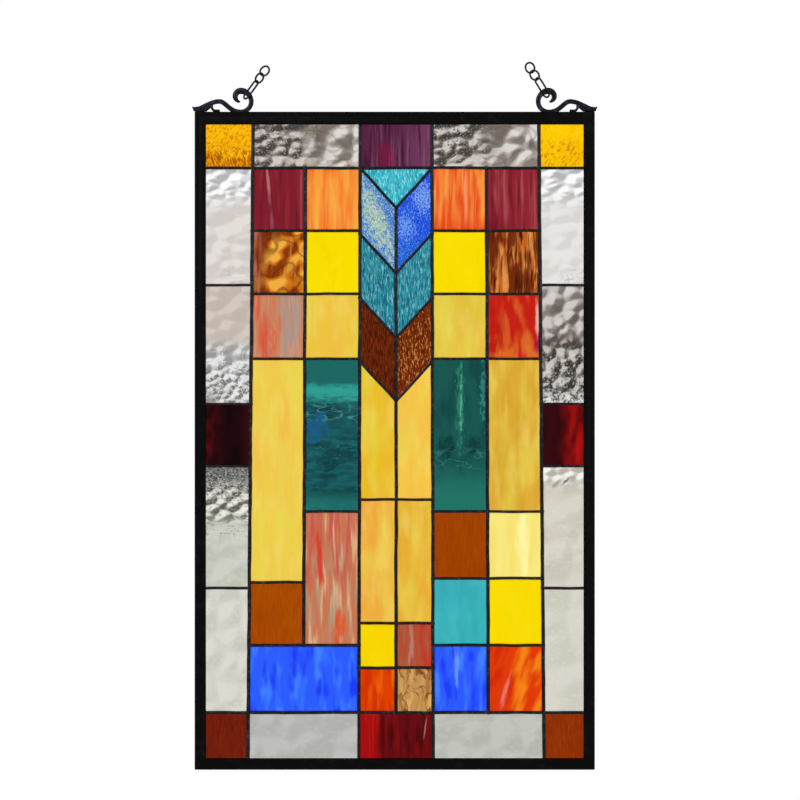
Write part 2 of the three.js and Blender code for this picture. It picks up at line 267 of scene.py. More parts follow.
# %% [markdown]
# ## Black metals
# Three metals are black in three ways. The channel is painted zinc, matt and a little scuffed. The seams
# are solder darkened with patina, which leaves a dull sheen and cloudy patches. The hooks and chains are
# dark iron with a blue cast. Each finish is two tones mixed by noise, and the same noise moves the
# roughness.

# %% Black metals


def black_metal(name, deep, worn, patch, share, rough, relief, **plain):
    """Deep and worn are the two tones, patch is the size of a patch in mm, share is how much is worn, rough
    is the middle roughness and relief is the depth of the clouds in mm."""
    finish = Finish(name, **plain)
    place = finish.mapping(finish.own_place(), Scale=(1 / MM, 1 / MM, 1 / MM))
    clouds = finish.noise(place, 1 / patch, 5)
    grain = finish.noise(place, 2.2, 3)
    scuffs = finish.rise(clouds + grain * 0.25, 0.85 - share, 1.0 - share / 2)
    return finish.show(
        Base_Color=finish.mix(scuffs, deep, worn),
        Roughness=rough + (clouds - 0.5) * 0.5,
        Normal=finish.bump(clouds + grain * 0.4, relief),
    )


channel_dark = black_metal(
    "channel_paint", (8, 8, 9), (19, 19, 21), 9, 0.2, 0.55, 0.06, Metallic=0.0, Specular_IOR_Level=0.04
)
solder_dark = black_metal(
    "patina_solder", (16, 16, 20), (58, 58, 66), 3.5, 0.22, 0.42, 0.12, Metallic=0.35, Specular_IOR_Level=0.3
)
iron_dark = black_metal(
    "blue_black_iron", (15, 16, 25), (48, 52, 74), 4, 0.25, 0.4, 0.08, Metallic=0.5, Specular_IOR_Level=0.35
)
floor_paint = black_metal(
    "floor_paint", (236, 236, 234), (246, 246, 245), 40, 0.2, 0.7, 0.05, Metallic=0.0
)
floor.data.materials.append(floor_paint)
print("metals:", [finish.name for finish in (channel_dark, solder_dark, iron_dark)])

# %% [markdown]
# ## Adding a piece
# Every piece stands for a solid of the model, rides with the panel, and is given its finish. One helper
# does all of that, so that no piece forgets a step.

# %% Adding a piece
pieces = []


def add_piece(bm, name, slot, material, *nodes):
    piece = object_from(bm, name)
    piece.data.materials.append(material)
    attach(piece, "root")
    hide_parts(*nodes)
    pieces.append(piece)
    return piece


def spot(across, down, out=0.0):
    """A point of the panel, in mm from the middle of its top edge. Out is towards the front."""
    return Vector((across * MM, -out * MM, frame_high.z - down * MM))


print("top edge of the frame at", round(frame_high.z / MM, 1), "mm")

# %% [markdown]
# ## The channel frame
# The frame is one metal channel, shaped like a U, folded round the glass. It could be four boxes, but a
# real channel has lips that hold the glass, a rounded outer edge and a shallow line rolled along its
# face. So its section is drawn once, set up at the four corners on the slant of the mitre, and bridged
# from corner to corner.

# %% The channel frame
width, height = ((frame_high - frame_low) / MM).x, ((frame_high - frame_low) / MM).z
FACE = {"top": 11.8, "side": 10.5, "foot": 10.4}  # how far each lip reaches over the glass
ROUNDED = {0: 0.9, 4: 0.4}  # which corners of the half section are rounded, and by how much


def section(lip):
    """One arm's section: how far in from the outside each corner of it is, and how far out."""
    half = [(0, 3.2), (3.6, 3.2), (4.0, 2.9), (4.4, 3.2), (lip, 3.2), (lip, 2.0), (1.2, 2.0)]
    return half + [(inward, -out) for inward, out in reversed(half)]


channel = bmesh.new()
corners = []
for across, down in ((-1, 0), (1, 0), (1, 1), (-1, 1)):
    level_arm = section(FACE["foot" if down else "top"])
    loop = []
    for (inward, out), (fall, _) in zip(section(FACE["side"]), level_arm):
        depth = height - fall if down else fall
        loop.append(channel.verts.new(spot(across * (width / 2 - inward), depth, out)))
    corners.append(loop)
sides = range(len(corners[0]))
loops = [[channel.edges.new((loop[i], loop[i - 1])) for i in sides] for loop in corners]
for i in range(4):
    bmesh.ops.bridge_loops(channel, edges=loops[i] + loops[i - 1])
bmesh.ops.recalc_face_normals(channel, faces=channel.faces)
for index, radius in ROUNDED.items():
    both = index, len(sides) - 1 - index
    ends = {loop[i] for loop in corners for i in both if loop[i].is_valid}
    long = [edge for edge in channel.edges if ends.issuperset(edge.verts)]
    bmesh.ops.bevel(
        channel, geom=long, offset=radius * MM, segments=3, profile=0.5, affect="EDGES", material=-1
    )
add_piece(channel, "channel_frame", "frame_black", channel_dark, "frame")
print("channel:", len(pieces[-1].data.polygons), "faces")

# %% [markdown]
# ## Where the seams run
# The seams were laid by hand, so the uprights lean a little and no two columns are alike. These are the
# lines of the model: each upright by its place at the top and the bottom edge, each level seam by its
# depth below the top.

# %% Where the seams run
HEAD, FOOT = 10.8, 627.0
UPRIGHTS = {
    "left": (-185.0, -185.0),
    "a": (-137.0, -142.2),
    "b": (-86.1, -88.6),
    "c": (-33.4, -34.7),
    "middle": (1.3, 1.3),
    "d": (36.0, 37.3),
    "e": (88.6, 90.8),
    "f": (139.4, 144.7),
    "right": (185.0, 185.0),
}
BORDER, SIDE_LOWER, BLUE_TOP, FOOT_BORDER = 54.2, 460.9, 516.2, 581.4
CHEVRON = {"sides": (0, 63.6, 125.6, 187), "drop": 38.5}  # each side's depth below the border
UPRIGHT_RUNS = {
    "a": (HEAD, FOOT),
    "b": (BORDER, BLUE_TOP),
    "c": (HEAD, FOOT),
    "middle": (BORDER + CHEVRON["drop"], FOOT_BORDER),
    "d": (HEAD, FOOT),
    "e": (BORDER, FOOT_BORDER),
    "f": (HEAD, FOOT),
}
LEVEL_RUNS = {
    BORDER: [("left", "right")],
    114.9: [("a", "c"), ("d", "f")],
    167.6: [("left", "a"), ("f", "right")],
    176.1: [("a", "c"), ("d", "f")],
    238.9: [("a", "c"), ("d", "f")],
    282.7: [("left", "a"), ("f", "right")],
    342.8: [("left", "a"), ("f", "right")],
    375.2: [("c", "d")],
    386.8: [("b", "c"), ("d", "f")],
    451.4: [("d", "f")],
    455.3: [("a", "b")],
    SIDE_LOWER: [("left", "a"), ("f", "right")],
    494.8: [("c", "d")],
    BLUE_TOP: [("a", "c"), ("d", "f")],
    538.1: [("c", "d")],
    FOOT_BORDER: [("left", "right")],
}
BEAD = {"upright": 3.4, "level": 2.6, "slanting": 2.8}


def across_at(upright, down):
    top, bottom = UPRIGHTS[upright]
    return top + (bottom - top) * down / height


runs = []
for name, (top, foot) in UPRIGHT_RUNS.items():
    runs.append(("upright", (across_at(name, top), top), (across_at(name, foot), foot)))
for down, spans in LEVEL_RUNS.items():
    for start, end in spans:
        runs.append(("level", (across_at(start, down), down), (across_at(end, down), down)))
for drop in CHEVRON["sides"]:
    side = BORDER + drop
    tip = across_at("middle", 0), side + CHEVRON["drop"]
    runs += [("slanting", (across_at(end, side), side), tip) for end in ("c", "d")]
whole_length = sum(math.dist(start, end) for _, start, end in runs)
print(len(runs), "seams, in all", round(whole_length * MM, 2), "m on each face")

# %% [markdown]
# ## A bar that follows a line
# Seams, scrolls and spurs are all bars that run along a line and swell or thin on the way. A round bar is
# made straight, cut into rings, and then each ring is carried to its place on the line, turned square to
# it and given its own width and depth.

# %% A bar that follows a line


def bar_along(line, widths, front, back, sides=10, square=1.0):
    """A bar on a line of (across, down) points in mm. Front and back give, for each ring, how far out its
    two faces stand, and a square below 1 makes the round section boxier."""
    rings = len(line)
    bm = bmesh.new()
    bmesh.ops.create_cone(bm, cap_ends=True, segments=sides, radius1=1, radius2=1, depth=1)
    if sides == 4:
        eighth = Matrix.Rotation(math.radians(45), 3, "Z")
        bmesh.ops.rotate(bm, cent=(0, 0, 0), matrix=eighth, verts=bm.verts)
        bmesh.ops.scale(bm, vec=(math.sqrt(2), math.sqrt(2), 1), verts=bm.verts)
    uprights = [edge for edge in bm.edges if abs(edge.verts[0].co.z - edge.verts[1].co.z) > 0.5]
    if rings > 2:
        bmesh.ops.subdivide_edges(bm, edges=uprights, cuts=rings - 2, use_grid_fill=True)
    for vert in bm.verts:
        ring = round((vert.co.z + 0.5) * (rings - 1))
        here = Vector(line[ring])
        along = (Vector(line[min(ring + 1, rings - 1)]) - Vector(line[max(ring - 1, 0)])).normalized()
        sideways, outwards = (math.copysign(abs(part) ** square, part) for part in vert.co.xy)
        at = here + Vector((-along.y, along.x)) * sideways * widths[ring] / 2
        middle = (front[ring] + back[ring]) / 2
        out = middle + outwards * (front[ring] - back[ring]) / 2
        vert.co = spot(at.x, at.y, out)
    bmesh.ops.recalc_face_normals(bm, faces=bm.faces)
    return bm


def gather(whole, part):
    """Moves all of one bmesh into another."""
    mesh = bpy.data.meshes.new("part")
    part.to_mesh(mesh)
    part.free()
    whole.from_mesh(mesh)
    bpy.data.meshes.remove(mesh)


def drift(seed, place, size):
    """A smooth change along a line, from -1 to 1, that is the same at each run."""
    return noise.noise(Vector((place / size, seed * 3.7, 0.5)))


# %% [markdown]
# ## The soldered seams
# A seam is a thin web of solder between two pieces of glass, with a rounded bead run along it on each
# face. The beads wander and swell as the iron moves, and a little pool stands where seams meet. All of it
# is one lattice.

# %% The soldered seams
GLASS_FACE = 1.5
CROWN = 1.25
WEB = 1.1
STEP = 3.5  # from ring to ring along a bead
WANDER = 0.45
lattice = bmesh.new()


def hand_laid(seed, start, end, wander):
    start, end = Vector(start), Vector(end)
    length = (end - start).length
    square = Vector((-(end - start).y, (end - start).x)) / length
    count = max(3, round(length / STEP))
    ease = [min(1.0, 4 * i / count, 4 * (1 - i / count)) for i in range(count + 1)]
    return [
        start.lerp(end, i / count) + square * wander * ease[i] * drift(seed, i * STEP, 26)
        for i in range(count + 1)
    ]


for seed, (kind, start, end) in enumerate(runs):
    line = hand_laid(seed, start, end, WANDER)
    rings = range(len(line))
    for face in (1, -1):
        wide = [BEAD[kind] * (1 + 0.16 * drift(seed * face + 40, i * STEP, 9)) for i in rings]
        crown = [face * (GLASS_FACE + CROWN * (0.9 + 0.2 * drift(seed + 90, i * STEP, 12))) for i in rings]
        sole = [face * (GLASS_FACE - 0.5)] * len(line)
        bead = bar_along(line, wide, *((crown, sole) if face > 0 else (sole, crown)), sides=10)
        gather(lattice, bead)
    gather(lattice, bar_along(line, [WEB] * len(line), [1.2] * len(line), [-1.2] * len(line), sides=4))
print("seams:", len(lattice.faces), "faces")

joints = set()
for name, (top, foot) in UPRIGHT_RUNS.items():
    for down, spans in LEVEL_RUNS.items():
        x = across_at(name, down)
        touches = any(across_at(a, down) - 1 < x < across_at(b, down) + 1 for a, b in spans)
        if touches and top - 1 < down < foot + 1:
            joints.add((round(x, 1), down))
joints.update((round(x, 1), down) for kind, *ends in runs if kind == "slanting" for x, down in ends)
for index, (x, down) in enumerate(sorted(joints)):
    for face in (1, -1):
        wide = 1.95 + 0.45 * drift(index * face, 0, 1)
        pool = bmesh.ops.create_icosphere(lattice, subdivisions=2, radius=1)
        shape = Matrix.Diagonal((wide * MM, 1.35 * MM, wide * MM * (1 + 0.2 * drift(index, 5, 1)), 1))
        bmesh.ops.transform(lattice, matrix=shape, verts=pool["verts"])
        for vert in pool["verts"]:
            vert.co.y *= 1 if vert.co.y * face < 0 else 0.3
        bmesh.ops.translate(lattice, vec=spot(x, down, face * (GLASS_FACE - 0.1)), verts=pool["verts"])
print("pools of solder:", 2 * len(joints))
add_piece(lattice, "solder_lattice", "solder_black", solder_dark, "solder_seams")

# %% [markdown]
# ## The scroll hooks
# A hook is a flat iron bar forged thin at its tail, bent over a crest, dipped to the frame and curled in
# on itself. A foot, a small leaf-like spur and a block tie it to the frame. The bar's line is drawn with
# two smooth curves and two arcs, and its width follows the forging. The right hook is the same, handed
# the other way.

# %% The scroll hooks
EYE_AT = Vector((44.4, -10.3))
LARGE, SMALL = 10.2, 5.35
CREST = Vector((23.6, -10.3))
TAIL = Vector((-2.8, -5.1))
HOOK_DEPTH = 2.4


def bend(*points, steps):
    return [Vector(point[:2]) for point in interpolate_bezier(*[(*p, 0) for p in points], steps + 1)][1:]


def arc(centre, radius, start, end, steps):
    angles = [math.radians(start + (end - start) * i / steps) for i in range(1, steps + 1)]
    return [centre + Vector((radius * math.cos(angle), -radius * math.sin(angle))) for angle in angles]


dip = EYE_AT + Vector((0, LARGE))
scroll_line = [
    TAIL,
    *bend(TAIL, (4.5, 0.5), (13, CREST.y), CREST, steps=20),
    *bend(CREST, (CREST.x + 6.5, CREST.y), (dip.x - 11.5, dip.y), dip, steps=18),
    *arc(EYE_AT, LARGE, -90, 90, 26),
    *arc(EYE_AT - Vector((0, LARGE - SMALL)), SMALL, 90, 268, 22),
]


def scroll_width(t):
    point = math.sqrt(min(1, t / 0.12, (1 - t) / 0.07))
    swell = 1.6 * math.exp(-(((t - 0.83) / 0.08) ** 2))
    return 0.3 + (4.4 + swell) * point


def shares_along(line):
    lengths = [0.0]
    for before, after in zip(line, line[1:]):
        lengths.append(lengths[-1] + math.dist(before, after))
    return [length / lengths[-1] for length in lengths]


def handed(side, points):
    """Points from the top corner of the frame, carried to the left or the right corner."""
    return [(side * (width / 2 - point[0]), point[1]) for point in points]


def build_hook(side, word):
    hook = bmesh.new()
    shares = shares_along(scroll_line)
    foot = [(-2.2, -4.5), (-0.3, -2.9), (1, -2.7), (6, -2.9)]
    foot += [(10.6, -3.2), (13.4, -4.9), (15.6, -6.2), (17, -7)]
    spur = [Vector((16.4, -6.8)), *bend((16.4, -6.8), (16.2, -3.6), (17.0, -1.6), (19.6, -1.5), steps=8)]
    block = [(17.4, -1.35), (17.9, -1.35), (23.8, -1.35), (24.3, -1.35)]
    bars = [
        (scroll_line, [scroll_width(t) for t in shares], 0.5, 12),
        (foot, [0.8, 4.4, 5.2, 5.4, 5.6, 4.2, 3.4, 1.0], 0.5, 12),
        (spur, [2.8 - 0.06 * i for i in range(len(spur))], 0.43, 10),
        (block, [1.6, 2.3, 2.3, 1.6], 0.45, 10),
    ]
    for line, widths, share, sides in bars:
        depth = [min(HOOK_DEPTH * share, 0.35 + wide * 0.6) for wide in widths]
        part = bar_along(handed(side, line), widths, depth, [-d for d in depth], sides, square=0.72)
        gather(hook, part)
    return add_piece(hook, "iron_scroll_" + word, "hook_metal", iron_dark, "scroll_hook_" + word)


print("scroll:", len(scroll_line), "rings")

# %% [markdown]
# ## The chains
# A short length of chain stands in each curl: one long link and two rings of bent wire. A ring is a small
# circle spun about an axis. The long link is the same ring with its two ends drawn apart.

# %% The chains
WIRE, BITE = 1.92, 0.42  # how thick the wire is, and how far touching links are let into each other
WIRE_SIDES, LINK_STEPS = 10, 32
LINKS = [(13.3, 3.9), (0, 5.0), (0, 5.0)]  # each link's straight part and the radius of its ends
STANDS = {
    "left": {"lean": 54, "offset": 1.7, "foot": 3.38, "turns": (-50, 57, -30)},
    "right": {"lean": 58, "offset": -2.2, "foot": 5.3, "turns": (-54, 28, -40)},
}


def wire_link(straight, radius):
    """A wire link that stands along Z, with its middle at the origin."""
    link = bmesh.new()
    middle = Matrix.Translation((radius * MM, 0, 0))
    bmesh.ops.create_circle(link, segments=WIRE_SIDES, radius=WIRE / 2 * MM, matrix=middle)
    wire = link.verts[:] + link.edges[:]
    round_the_middle = {"axis": (0, 1, 0), "cent": (0, 0, 0), "angle": math.tau}
    bmesh.ops.spin(link, geom=wire, steps=LINK_STEPS, use_merge=True, **round_the_middle)
    for vert in link.verts:
        if abs(vert.co.z) > 1e-6:
            vert.co.z += math.copysign(straight / 2 * MM, vert.co.z)
    bmesh.ops.recalc_face_normals(link, faces=link.faces)
    return link


def turned(degrees, axis):
    return Matrix.Rotation(math.radians(degrees), 4, axis)


def build_chain(side, word):
    stand = STANDS[word]
    eye = Matrix.Translation(((EYE_AT.x + stand["offset"]) * MM, 0, -EYE_AT.y * MM))
    corner = Matrix.Translation(spot(side * width / 2, 0)) @ turned(0 if side < 0 else 180, "Z")
    leaning = corner @ eye @ turned(90 - stand["lean"], "Y")
    chain = bmesh.new()
    foot = stand["foot"]
    for (straight, radius), turn in zip(LINKS, stand["turns"]):
        centre = foot + radius + straight / 2
        foot = centre + radius + straight / 2 - WIRE + BITE
        link = wire_link(straight, radius)
        along = Matrix.Translation((0, 0, centre * MM)) @ turned(turn, "Z")
        bmesh.ops.transform(link, matrix=leaning @ along, verts=link.verts)
        gather(chain, link)
    return add_piece(chain, "wire_chain_" + word, "chain_wire", iron_dark, "chain_" + word)


def compare(piece, node):
    """Prints a piece's box beside the box of the solid that it stands for."""
    low, high = (Vector(piece.bound_box[corner]) for corner in (0, 6))
    for name, box in ((piece.name, (low, high)), (node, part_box(node))):
        print(f"{name:22}", [round(part / MM, 1) for corner in box for part in corner])


for side, word in ((-1, "left"), (1, "right")):
    compare(build_hook(side, word), "scroll_hook_" + word)
    compare(build_chain(side, word), "chain_" + word)

# %% [markdown]
# ## Art glass
# Art glass takes its look while it is soft. A sheet is poured, a second colour is stirred through it in
# streaks and wisps, and a roller presses ripples, grain or lumps into its face. A Glass is a finish that
# starts from the colour of the sheet and lays such patterns over it, one after another. They are drawn
# flat, in mm over the face of the panel, so the front and the back of a pane agree, and each pane's seed
# gives it its own piece of the sheet.

# %% Art glass
STEEP = 0.2  # the slope of a lump at which its shade is full


class Glass(Finish):
    def __init__(self, name, box, seed, colour, **plain):
        super().__init__(name, **plain)
        low, high = (corner / MM for corner in box)
        self.corner, self.size, self.seed = low, high - low, seed
        self.colour = colour
        upright = {"Location": (0, 0, seed), "Rotation": (-math.pi / 2, 0, 0), "Scale": (1 / MM, 0, 1 / MM)}
        self.flat = self.mapping(self.own_place(), **upright)
        pane = {"Location": (low.x, low.z, seed), "Scale": (self.size.x, self.size.z, 1)}
        self.share = self.mapping(self.flat, "TEXTURE", **pane)

    def stretched(self, wide, tall, turn=0, aside=0.0):
        """The flat place, counted in blots that are so wide and so tall in mm, and turned in degrees."""
        turned_by = (0, 0, math.radians(turn))
        sockets = {"Location": (aside, -aside, 0), "Rotation": turned_by, "Scale": (wide, tall, 1)}
        return self.mapping(self.flat, "TEXTURE", **sockets)

    def blots(self, wide, tall, turn=0, warp=0.0, aside=0.0, detail=3.0):
        return self.noise(self.stretched(wide, tall, turn, aside), 1, detail, warp)

    def lumps(self, wide, tall, warp=0.7, aside=0.0, detail=1.0):
        """Rounded lumps: 0 at the middle of each, and near 1 in the valleys between them."""
        place = self.stretched(wide, tall, 0, aside)
        sockets = {"Vector": place, "Scale": 0.8, "Detail": detail}
        bent = self.node("ShaderNodeTexNoise", {}, sockets, output=1)
        sockets = {0: bent, 1: (warp, warp, 0), 2: place}
        return self.cells(self.node("ShaderNodeVectorMath", {"operation": "MULTIPLY_ADD"}, sockets))

    def lay(self, colour, share, **where):
        """Where narrows the share to parts of the pane. u runs from its left to its right, and v from its
        foot to its top. Each gives where the colour is gone and then where it is whole, once or twice."""
        for along, places in where.items():
            for gone, whole in zip(places[::2], places[1::2]):
                place = self.node("ShaderNodeSeparateXYZ", {}, {0: self.share}, output="uv".index(along))
                share = share * self.rise(place, gone, whole)
        self.colour = self.mix(share, self.colour, colour)

    def wash(self, colour, amount=1.0, **where):
        self.lay(colour, amount, **where)

    def streaks(
        self, colour, wide, tall, low, high, amount=1, turn=0, warp=0, aside=0, detail=2.0, **where
    ):
        """The blots that are over high, fading out to those that are under low."""
        blots = self.blots(wide, tall, turn, warp, aside, detail)
        self.lay(colour, self.rise(blots, low, high) * amount, **where)

    def veins(self, colour, wide, tall, width, amount=1.0, warp=0.5, aside=0.0, detail=1.0, **where):
        """Lines where the blots pass through their middle value. A wide one is soft to its edge."""
        middle = abs(self.blots(wide, tall, 0, warp, aside, detail) - 0.5)
        self.lay(colour, self.rise(middle, width, width / 4) * amount, **where)

    def wisp(self, colour, u, v, wide, tall, amount=1.0, turn=0, ragged=0.8, blot=(4, 14)):
        """One stirred patch, round a point of the pane. Ragged says how much the blots eat into its edge."""
        middle = (self.corner.x + u * self.size.x, self.corner.z + v * self.size.z, self.seed)
        sockets = {"Location": middle, "Rotation": (0, 0, math.radians(turn)), "Scale": (wide, tall, 1)}
        place = self.mapping(self.flat, "TEXTURE", **sockets)
        reach = self.node("ShaderNodeVectorMath", {"operation": "LENGTH"}, {0: place}, output=1)
        edge = reach + (self.blots(*blot, turn) - 0.5) * ragged * 4
        self.lay(colour, self.rise(edge, 1.3, 0.4) * amount)

    def billows(self, dark, light, wide, tall, amount=1.0, warp=0.7, lean=0.2, detail=1.0, **where):
        """Swells shaded as if lit: one slope of each is painted dark and the other painted light. On clear
        glass this is painted shade and painted reflection of the surroundings; on the agate it lays the
        glass's own brown layers.
        """
        near = self.lumps(wide, tall, warp, 0, detail)
        slope = near - self.lumps(wide, tall, warp, lean * wide, detail)
        self.lay(dark, self.rise(slope, 0.0, STEEP) * amount, **where)
        self.lay(light, self.rise(slope, 0.0, -STEEP) * amount, **where)

    # Painted shade along the rim of a pane, where the solder beside it would darken the glass.
    def rim(self, colour, amount):
        edge = self.node("ShaderNodeAttribute", {"attribute_name": "rim"}, output=2)
        self.lay(colour, edge * amount)


def rolled(glass, kind):
    """The relief that the roller left. The last number of each is its depth in mm."""
    if kind == "granite":
        return glass.bump(glass.blots(1.5, 1.8, 0, 0.6, 0, 4), 0.3)
    if kind == "ripple":
        return glass.bump(glass.blots(2.2, 12, 0, 0.8), 0.45)
    if kind == "baroque":
        return glass.bump(glass.lumps(13, 15) + glass.blots(3, 3) * 0.2, 0.5)
    if kind == "grain":
        return glass.bump(glass.blots(0.9, 9), 0.1)
    return glass.bump(glass.blots(11, 16), 0.12)


print("ways to make and pattern glass:", [name for name in vars(Glass) if not name.startswith("_")])

# %% [markdown]
# ## The palette
# This is the cutting list. Each pane has the face that was rolled into it, the colour of its sheet, and
# what was stirred through it. On the clear panes the greys and whites are painted shade and painted
# reflections of the surroundings seen through the glass. Panes that were cut from one sheet share their
# patterns through the small functions. A pane's place in the list is its seed, so the order is kept.

# %% The palette


def way(name):
    """One way to pattern glass, as a step of a recipe: the method of Glass and what it is given."""
    return lambda *values, **options: (name, values, options)


wash, streaks, veins, wisp, billows, rim = map(way, ("wash", "streaks", "veins", "wisp", "billows", "rim"))
# A grey painted shade along the rim of a pane.
GREY_RIM_PAINTED_SHADE = rim((60, 55, 50), 0.3)


# The mottle of the clear top panes: dark and pale swells, blots and lines that are painted shade and painted
# reflection of the surroundings seen bent through the glass.
def painted_refraction_mottle():
    return [
        streaks((176, 165, 156), 30, 22, 0.34, 0.54, 0.9, u=(0.45, 0.8)),
        wash((202, 189, 178), 0.85, v=(0.26, 0.08), u=(0.1, 0.35)),
        billows((52, 48, 45), (216, 210, 204), 13, 9, 0.85, u=(0.75, 0.4)),
        billows((104, 97, 92), (236, 232, 228), 17, 15, 0.75, u=(0.3, 0.8)),
        wisp((114, 102, 92), 0.6, 0.76, 16, 10, 0.9, 0, 0.4, (9, 9)),
        streaks((38, 36, 35), 2.4, 1.8, 0.53, 0.63, 0.7, u=(0.5, 0.22), v=(0.15, 0.45)),
        streaks((232, 227, 222), 1.8, 1.4, 0.59, 0.67, 0.5, aside=30, u=(0.7, 0.4)),
        veins((84, 77, 71), 20, 15, 0.05, 0.32, aside=70, warp=0.3, detail=0.5),
    ]


# Painted highlights: white glints and a pale painted light on the swells across the top of a clear hammered
# pane, with painted shade on their other slopes.
def hammered_head_painted_glints(shade):
    return [
        wash((222, 221, 221), 1.0, v=(0.62, 0.85)),
        billows((180, 180, 182), (255, 255, 255), 12, 8, 0.95, v=(0.6, 0.82)),
        billows(shade, (238, 235, 232), 19, 13, 0.45, v=(0.86, 0.6)),
        veins((158, 150, 144), 13, 8, 0.04, 0.4, v=(0.2, 0.08), u=(0.3, 0.6)),
    ]


# A faint painted shade and painted light on the swells of a clear pane, with pale painted glints in blots.
def faint_painted_swell_light(dark, light, wide=24, tall=20, amount=0.45):
    return [
        billows(dark, light, wide, tall, amount),
        streaks(light, 5, 4, 0.52, 0.7, 0.35),
    ]


def straw(share=0.5):
    return [
        streaks((246, 180, 74), 17, 80, 0.36, 0.7, share),
        streaks((232, 220, 84), 16, 60, 0.38, 0.7, 0.55, aside=90),
        streaks((249, 224, 118), 9, 30, 0.46, 0.74, 0.3, aside=190),
        streaks((236, 190, 76), 3, 60, 0.5, 0.74, 0.3, aside=240),
        # A painted shade along the rim.
        rim((210, 138, 64), 0.5),
    ]


def yellow():
    return [
        streaks((255, 230, 20), 14, 40, 0.45, 0.7, 0.35),
        streaks((240, 208, 0), 10, 30, 0.5, 0.7, 0.35, aside=60),
        # A painted shade along the rim.
        rim((190, 170, 10), 0.6),
    ]


def cobalt():
    return [
        streaks((66, 132, 255), 8, 34, 0.44, 0.7, 0.9),
        streaks((26, 52, 246), 9, 30, 0.46, 0.7, 0.85, aside=70),
        # A painted shade along the rim.
        rim((20, 25, 90), 0.4),
    ]


def rippled(dark, light, share=0.85, tall=11):
    return [
        streaks(dark, 1.2, tall, 0.47, 0.58, 0.85, warp=0.3),
        streaks(light, 1.0, tall * 0.8, 0.55, 0.65, share, aside=50, warp=0.3),
    ]


def fine_grain(dark, light):
    return [
        streaks(dark, 1.0, 12, 0.46, 0.62, 0.6),
        streaks(light, 0.9, 10, 0.52, 0.66, 0.45, aside=40),
        streaks(dark, 20, 26, 0.5, 0.7, 0.35, aside=80),
    ]


